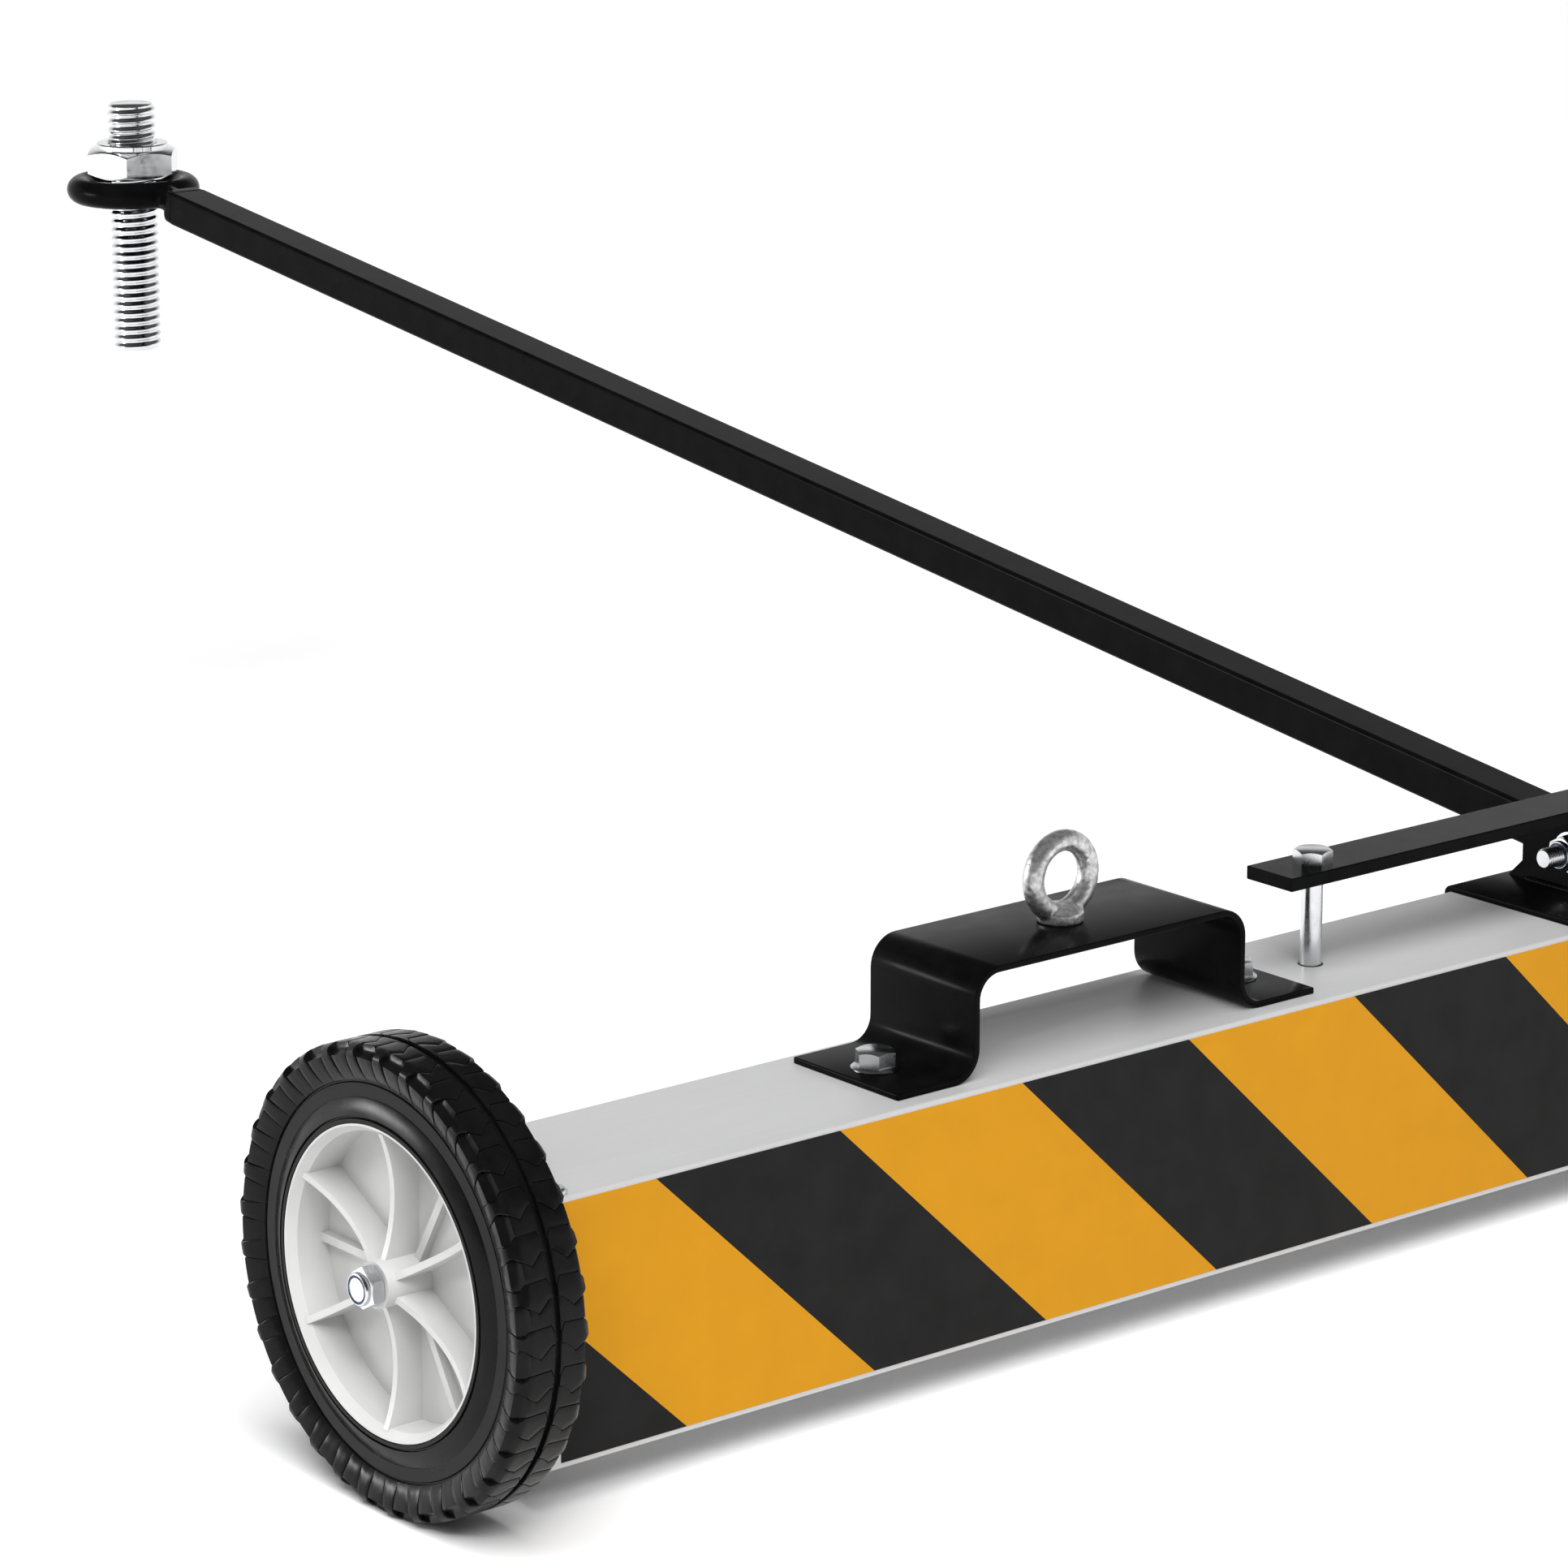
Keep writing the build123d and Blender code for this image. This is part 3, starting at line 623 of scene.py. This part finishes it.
def label():
    low, high = box("hazard_label")
    mesh = bmesh.new()
    pair = STRIPE_BLACK + STRIPE_YELLOW
    for number in STRIPE_PAIRS:
        start = STRIPE_START + number * pair
        change = start + STRIPE_BLACK
        for left, right, finish in ((start, change, 1), (change, start + pair, 0)):
            outline = [(left, high.z), (right, high.z),
                       (right + STRIPE_SHIFT, low.z), (left + STRIPE_SHIFT, low.z)]
            outline = clipped(clipped(outline, low.x, 1), high.x, -1)
            if len(outline) > 2:
                verts = [mesh.verts.new((x, low.y, z)) for x, z in outline]
                mesh.faces.new(verts).material_index = finish
    bmesh.ops.remove_doubles(mesh, verts=mesh.verts, dist=0.01)
    faces = list(mesh.faces)
    made = bmesh.ops.extrude_face_region(mesh, geom=faces, use_keep_orig=True)
    back = [item for item in made["geom"] if isinstance(item, bmesh.types.BMVert)]
    bmesh.ops.translate(mesh, verts=back, vec=(0, high.y - low.y, 0))
    form = Form()
    form.mesh.free()
    form.mesh = mesh
    piece = form.object("stripe_film", [YELLOW, BLACK])
    belong(piece, "chassis", "label_film", "hazard_label")


# ---- straps, saddle and eye bolts ---------------------------------------------------------


def bracket(name):
    low, high = box(f"bracket_{name}")
    half = (high.x - low.x) / 2
    leg = BRACKET_LEG - STRAP / 2
    foot = STRAP / 2
    top = high.z - low.z - STRAP / 2
    corners = [(-half, foot), (-leg, foot), (-leg, top), (leg, top), (leg, foot), (half, foot)]
    rings = ribbon_rings(bent_line(corners, BEND_MIDDLE), STRAP, high.y - low.y, STRAP_EDGE)
    form = Form().skin(rings, move((low.x + high.x) / 2, AXLE_Y, low.z))
    piece = form.object(f"strap_{name}", [MATERIALS["black_paint"]])
    belong(piece, "chassis", "black_paint", f"bracket_{name}")


def saddle():
    low, high = box("saddle_plate")
    half = (high.y - low.y) / 2 - STRAP / 2
    top = high.z - low.z - STRAP / 2
    line = bent_line([(-half, 0), (-half, top), (half, top), (half, 0)], SADDLE_BEND)
    rings = ribbon_rings(line, STRAP, high.x - low.x, STRAP_EDGE)
    form = Form().skin(rings, move(0, AXLE_Y, low.z) @ turn(90, "Z"))
    piece = form.object("saddle_sheet", [MATERIALS["black_paint"]])
    belong(piece, "chassis", "black_paint", "saddle_plate")


def torus_rings(major, minor, count=72, around=24):
    rings = []
    for i in range(count):
        angle = 2 * math.pi * i / count
        ring = []
        for j in range(around):
            swing = 2 * math.pi * j / around
            far = major + minor * math.cos(swing)
            ring.append((far * math.cos(angle), far * math.sin(angle), minor * math.sin(swing)))
        rings.append(ring)
    return rings


def eye_bolt(name):
    low, high = box(f"eye_bolt_{name}")
    x = (low.x + high.x) / 2
    seat = box(f"bracket_{name}")[1].z
    form = Form()
    major = (high.x - low.x) / 2 - EYE_MINOR
    upright = move(x, AXLE_Y, high.z - major - EYE_MINOR) @ turn(90, "X")
    form.skin(torus_rings(major, EYE_MINOR), upright, loop=True)
    collar = [(10.2, 0), (10.7, 0.6), (10.7, 4.6), (10.0, 5.6), (7.6, 6.6), (5.6, 8.2)]
    form.skin(lathe(collar), move(x, AXLE_Y, seat))
    form.skin(lathe([(4.8, low.z - seat), (BOLT_R, 1 + low.z - seat), (BOLT_R, 1)]), move(x, AXLE_Y, seat))
    piece = form.object(f"eye_casting_{name}", [MATERIALS["cast_galvanised"]])
    melt(piece, voxel=0.6, smooth=6, grain=0.22, grain_size=2.4)
    belong(piece, "chassis", "cast_galvanised", f"eye_bolt_{name}")


# ---- bolts and nuts -----------------------------------------------------------------------


def along_x(x, side, y, z):
    """Lays a shape that is built up from Z = 0 along X: to the right, or to the left for side -1."""
    return move(x, y, z) @ turn(90 * side, "Y")


def nylock(form, across_flats, height, bore, place):
    """A nut whose plastic ring shows round the thread."""
    body = height - 2.2
    crest = CREST * across_flats / 2
    rings = hex_rings(across_flats, 0, body, chamfer_low=True)
    collar = [(crest - 0.5, body + 0.1), (crest - 0.6, height - 0.9), (crest - 0.9, height - 0.3),
              (crest - 1.5, height), (bore + 1.3, height), (bore + 1.1, height - 0.5)]
    rings += lathe(collar, HEX_COUNT)
    rings += lathe([(bore + 1.1, 0.2), (crest - 0.2, 0)], HEX_COUNT)
    form.skin(rings, place, loop=True)
    insert = [(bore, 0.6), (bore, height - 0.9), (bore + 0.3, height - 0.6),
              (bore + 1.2, height - 0.6), (bore + 1.2, 0.6)]
    form.skin(lathe(insert), place, loop=True, finish=1)


def bracket_bolts():
    low, high = box("bracket_bolts")
    seat = ROOF_Z + STRAP
    form = Form()
    for side in SIDES:
        strap_low, strap_high = box(f"bracket_{side}")
        centre = (strap_low.x + strap_high.x) / 2
        for offset in (-BRACKET_BOLT, BRACKET_BOLT):
            place = move(centre + offset, AXLE_Y, seat)
            flange = [(10.4, 0), (10.8, 0.3), (10.8, 0.8), (10.2, 1.2), (8.4, 1.7)]
            form.skin(lathe(flange), place)
            form.skin(hex_rings(HEX_AF, 1.4, high.z - seat), place)
            form.skin(lathe([(4.6, low.z - seat), (BOLT_R, low.z - seat + 0.5), (BOLT_R, 0.1)]), place)
    piece = form.object("flange_bolts", [MATERIALS["zinc_hardware"]])
    belong(piece, "chassis", "zinc_hardware", "bracket_bolts")


def lift_pin(name):
    low, high = box(f"lift_pin_{name}")
    seat = box("lift_bar")[1].z
    x = (low.x + high.x) / 2
    place = move(x, AXLE_Y, seat)
    form = Form()
    form.skin(hex_rings(HEX_AF, 0, high.z - seat), place @ turn(PIN_HEAD_TURN, "Z"))
    form.skin(lathe([(4.4, low.z - seat), (BOLT_R, low.z - seat + 0.8), (BOLT_R, 0.1)]), place)
    piece = form.object(f"long_bolt_{name}", [MATERIALS["zinc_hardware"]])
    belong(piece, "magnet_lift", "zinc_hardware", f"lift_pin_{name}")


def pivot_bolt():
    low, high = box("pivot_bolt")
    seat = high.x - HEX_HEAD
    form = Form()
    form.skin(hex_rings(HEX_AF, 0, HEX_HEAD), along_x(seat, 1, AXLE_Y, PIVOT_Z))
    inside = box("pivot_nut")[0].x
    form.skin(lathe([(BOLT_R, -0.1), (BOLT_R, seat - inside)]), along_x(seat, -1, AXLE_Y, PIVOT_Z))
    start = inside + THREAD_OVERLAP
    form.skin(thread_rings(BOLT_R, BOLT_PITCH, 0, start - low.x), along_x(start, -1, AXLE_Y, PIVOT_Z))
    piece = form.object("pivot_screw", [MATERIALS["zinc_hardware"]])
    belong(piece, "chassis", "zinc_hardware", "pivot_bolt")


def pivot_nut():
    low, high = box("pivot_nut")
    form = Form()
    nylock(form, HEX_AF, high.x - low.x, BOLT_R + NUT_GAP, along_x(high.x, -1, AXLE_Y, PIVOT_Z))
    piece = form.object("pivot_locknut", [MATERIALS["zinc_hardware"], NYLON])
    belong(piece, "chassis", "zinc_hardware", "pivot_nut")


def axle_nut(name, side):
    low, high = box(f"axle_nut_{name}")
    start = low.x if side > 0 else high.x
    form = Form()
    nylock(form, HEX_AF, high.x - low.x, BOLT_R + NUT_GAP, along_x(start, side, AXLE_Y, AXLE_Z))
    piece = form.object(f"axle_locknut_{name}", [MATERIALS["zinc_hardware"], NYLON])
    belong(piece, "chassis", "zinc_hardware", f"axle_nut_{name}")


# ---- weld beads ---------------------------------------------------------------------------

WELD_R = 1.9
WELD_RIPPLE = 0.22
WELD_STEPS = 90
WELD_MARGIN = 1.5


def weld_beads():
    """Rippled beads along the outside foot of each clevis plate."""
    form = Form()
    for side in SIDES:
        low, high = box(f"clevis_plate_{side}")
        x = low.x if SIDES[side] < 0 else high.x
        rings = []
        for i in range(WELD_STEPS + 1):
            y = low.y + WELD_MARGIN + (high.y - low.y - 2 * WELD_MARGIN) * i / WELD_STEPS
            close = min(i, WELD_STEPS - i) / 3
            radius = WELD_R * min(1.0, 0.45 + close * 0.3) + WELD_RIPPLE * abs(math.sin(i * math.pi / 4))
            ring = circle(radius, 0, 12)
            rings.append([(x + a, y, low.z + b * 0.9) for a, b, _ in ring])
        form.skin(rings)
    belong(form.object("weld_beads", [MATERIALS["black_paint"]], sharp=60), "chassis", "black_paint")


# ---- hitch --------------------------------------------------------------------------------

HITCH_PITCH = 5.3
HITCH_THREAD = 0.3
NUT_TURN = 49.6
NUT_COLLAR = 3.5
TUBE_LENGTH = 1208.0

# The plug and neck of the tow eye: distance past the end of the tube, width, height, corner radius
NECK = [(-24, 21, 16, 2), (0, 21, 16, 2), (0.2, 25.4, 20.4, 2.4), (7, 25.2, 20.2, 2.8),
        (9.5, 23.4, 19.0, 5), (13, 17.4, 16.0, 7.4)]
NECK_END = (16, 15.4, 7.6)


def hitch_bolt():
    low, high = box("hitch_bolt")
    radius = (high.x - low.x) / 2
    rings = thread_rings(radius, HITCH_PITCH, low.z, high.z, count=96, rows_per_turn=16,
                         depth_share=HITCH_THREAD)
    form = Form().skin(rings, move(0, HITCH_Y, 0))
    piece = form.object("threaded_bar", [MATERIALS["hitch_chrome"]], sharp=70)
    belong(piece, "hitch", "hitch_chrome", "hitch_bolt")


def hitch_nut():
    low, high = box("hitch_nut")
    corner = math.cos(math.radians(60 - NUT_TURN))
    across_flats = (high.x - low.x) / corner * math.cos(math.radians(30))
    hex_high = high.z - low.z - NUT_COLLAR
    top = hex_high + NUT_COLLAR
    rings = hex_rings(across_flats, 0, hex_high, chamfer_low=True)
    rings += lathe([(22.4, hex_high + 0.1), (22.4, top - 0.6), (21.8, top), (16.6, top), (15.4, top - 1),
                    (15.1, hex_high), (15.1, 1.2), (16.2, 0)], HEX_COUNT)
    form = Form().skin(rings, move(0, HITCH_Y, low.z) @ turn(NUT_TURN, "Z"), loop=True)
    piece = form.object("hitch_hexagon", [MATERIALS["hitch_chrome"]])
    belong(piece, "hitch", "hitch_chrome", "hitch_nut")


def tow_eye():
    form = Form()
    form.skin(torus_rings(RING_MAJOR, RING_MINOR, 96, 32), move(0, HITCH_Y, RING_Z), loop=True)
    line = move(0, AXLE_Y, PIVOT_Z) @ Matrix.Rotation(DRAWBAR_TILT, 4, "X")
    reach = (HITCH_Y - AXLE_Y) / math.cos(DRAWBAR_TILT) - RING_MAJOR
    rings = []
    for far, width, height, corner in NECK + [(reach - TUBE_LENGTH, *NECK_END)]:
        shape = section(height, width, corner, 6)
        rings.append([(w, TUBE_LENGTH + far, t) for t, w in shape])
    form.skin(rings, line)
    piece = form.object("tow_ring", [MATERIALS["black_paint"]])
    melt(piece, voxel=0.9, smooth=5, grain=0.15, grain_size=9)
    belong(piece, "drawbar", "black_paint", "tow_eye")


# ---- CAD nodes that keep their shape ------------------------------------------------------

KEPT = {
    "housing_aluminium": ["housing_shell", "end_cap_left", "end_cap_right"],
    "skin_steel": ["bottom_skin"],
    "black_paint": ["clevis_plate_left", "clevis_plate_right", "clevis_gussets", "lift_bar", "drawbar_tube"],
    "zinc_hardware": ["end_cap_screws", "eye_nuts", "bracket_nuts", "pivot_washers", "axle_left",
                      "axle_right", "axle_spacer_left", "axle_spacer_right", "carrier_nuts"],
    "hub_plastic": ["wheel_hub_left", "wheel_hub_right"],
    "bush_plastic": ["hub_bush_left", "hub_bush_right", "pivot_bush", "pin_guide_left", "pin_guide_right"],
    "ferrite": ["magnets"],
    "carrier_steel": ["magnet_carrier"],
}


BEVELLED = {"clevis_plate_left": 0.6, "clevis_plate_right": 0.6, "clevis_gussets": 0.5, "pivot_washers": 0.3,
            "end_cap_left": 0.5, "end_cap_right": 0.5, "axle_left": 0.6, "axle_right": 0.6}


def soften_edges():
    """Rounds the sharp edges of some CAD pieces. Their own vertices stay as they are."""
    for node, width in BEVELLED.items():
        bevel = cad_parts[node].modifiers.new("edge", "BEVEL")
        bevel.width = width * MM
        bevel.segments = 3
        bevel.limit_method = "ANGLE"
        bevel.angle_limit = math.radians(50)
        bevel.harden_normals = True


def dress_kept_nodes():
    for slot, nodes in KEPT.items():
        for node in nodes:
            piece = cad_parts[node]
            if not piece.material_slots:
                piece.data.materials.append(MATERIALS[slot])
            for place in piece.material_slots:
                place.material = MATERIALS[slot]


# ---- studio -------------------------------------------------------------------------------

TARGET = Vector((-0.388, -0.4585, 0.225))
AZIMUTH = math.radians(-39.52)
ELEVATION = math.radians(14.9)
DISTANCE = 2.65
LENS = 134.2
SENSOR = 36
FLOOR_REACH = 40
FLOOR_GREY = 0.94
SUN_STRENGTH = 3.3
SUN_SPREAD = 50
SUN_FROM = Vector((-0.3, -0.35, 1.0))

# Brightness of the room at three heights, and the dark wall behind the viewer
SKY = [(0.05, 0.95), (0.3, 0.8), (0.55, 0.08)]
DARK_SHARE = 0.08
DARK_FROM = 0.15
DARK_FULL = 0.6


def darken_one_side(tree, direction):
    """A dark wall behind the place that the picture is taken from."""
    facing = tree.nodes.new("ShaderNodeVectorMath")
    facing.operation = "DOT_PRODUCT"
    facing.inputs[1].default_value = (math.sin(AZIMUTH), -math.cos(AZIMUTH), 0)
    wall = tree.nodes.new("ShaderNodeMapRange")
    wall.inputs["From Min"].default_value = DARK_FROM
    wall.inputs["From Max"].default_value = DARK_FULL
    wall.inputs["To Min"].default_value = 1.0
    wall.inputs["To Max"].default_value = DARK_SHARE
    tree.links.new(direction, facing.inputs[0])
    tree.links.new(facing.outputs["Value"], wall.inputs["Value"])
    tree.links.new(wall.outputs["Result"], tree.nodes["Background"].inputs["Strength"])


def add(name, data):
    thing = bpy.data.objects.new(name, data)
    bpy.context.collection.objects.link(thing)
    return thing


def camera():
    back = Vector((math.cos(ELEVATION) * math.sin(AZIMUTH), -math.cos(ELEVATION) * math.cos(AZIMUTH),
                   math.sin(ELEVATION)))
    data = bpy.data.cameras.new("camera")
    data.lens = LENS
    data.sensor_width = SENSOR
    viewer = add("camera", data)
    viewer.location = TARGET + back * DISTANCE
    viewer.rotation_euler = (-back).to_track_quat("-Z", "Y").to_euler()
    bpy.context.scene.camera = viewer


def ground():
    far = FLOOR_REACH
    data = bpy.data.meshes.new("floor")
    data.from_pydata([(-far, -far, 0), (far, -far, 0), (far, far, 0), (-far, far, 0)], [], [(0, 1, 2, 3)])
    data.materials.append(Finish("pale_floor", (FLOOR_GREY, FLOOR_GREY, FLOOR_GREY), roughness=0.7).material)
    floor = add("floor", data)


def room():
    """A pale room that darkens upwards, with one dark wall."""
    world = bpy.data.worlds.new("studio")
    world.use_nodes = True
    tree = world.node_tree
    direction = tree.nodes.new("ShaderNodeTexCoord").outputs["Generated"]
    parts = tree.nodes.new("ShaderNodeSeparateXYZ")
    sky = tree.nodes.new("ShaderNodeValToRGB")
    for number, (height, value) in enumerate(SKY):
        stops = sky.color_ramp.elements
        stop = stops[number] if number < len(stops) else stops.new(height)
        stop.position = height
        stop.color = (value, value, value, 1)
    tree.links.new(direction, parts.inputs["Vector"])
    tree.links.new(parts.outputs["Z"], sky.inputs["Fac"])
    tree.links.new(sky.outputs["Color"], tree.nodes["Background"].inputs["Color"])
    darken_one_side(tree, direction)
    bpy.context.scene.world = world


def sun():
    data = bpy.data.lights.new("sky_panel", "SUN")
    data.energy = SUN_STRENGTH
    data.angle = math.radians(SUN_SPREAD)
    light = add("sky_panel", data)
    light.visible_glossy = False
    light.rotation_euler = SUN_FROM.to_track_quat("Z", "Y").to_euler()


def panel(name, place, aim, width, height, power, mirrored):
    """A rectangular light. One that is not mirrored does not show in shiny surfaces."""
    data = bpy.data.lights.new(name, "AREA")
    data.shape = "RECTANGLE"
    data.size = width
    data.size_y = height
    data.energy = power
    light = add(name, data)
    light.location = place
    light.visible_glossy = mirrored
    light.rotation_euler = (light.location - Vector(aim)).to_track_quat("Z", "Y").to_euler()


def studio():
    camera()
    ground()
    room()
    sun()
    panel("strip", place=(-1.6, -2.4, 1.9), aim=(-0.3, -0.5, 0.1), width=2.4, height=0.5,
          power=38, mirrored=False)
    panel("side_panel", place=(-2.9, 1.9, 0.62), aim=(-0.72, -0.6, 0.1), width=1.3, height=0.45,
          power=34, mirrored=True)
    bpy.context.scene.view_settings.view_transform = "Standard"


# ---- the whole ----------------------------------------------------------------------------

studio()
dress_kept_nodes()
soften_edges()
for side_name, sign in SIDES.items():
    tyre(side_name, sign)
    bracket(side_name)
    eye_bolt(side_name)
    lift_pin(side_name)
    axle_nut(side_name, sign)
label()
saddle()
bracket_bolts()
pivot_bolt()
pivot_nut()
weld_beads()
hitch_bolt()
hitch_nut()
tow_eye()
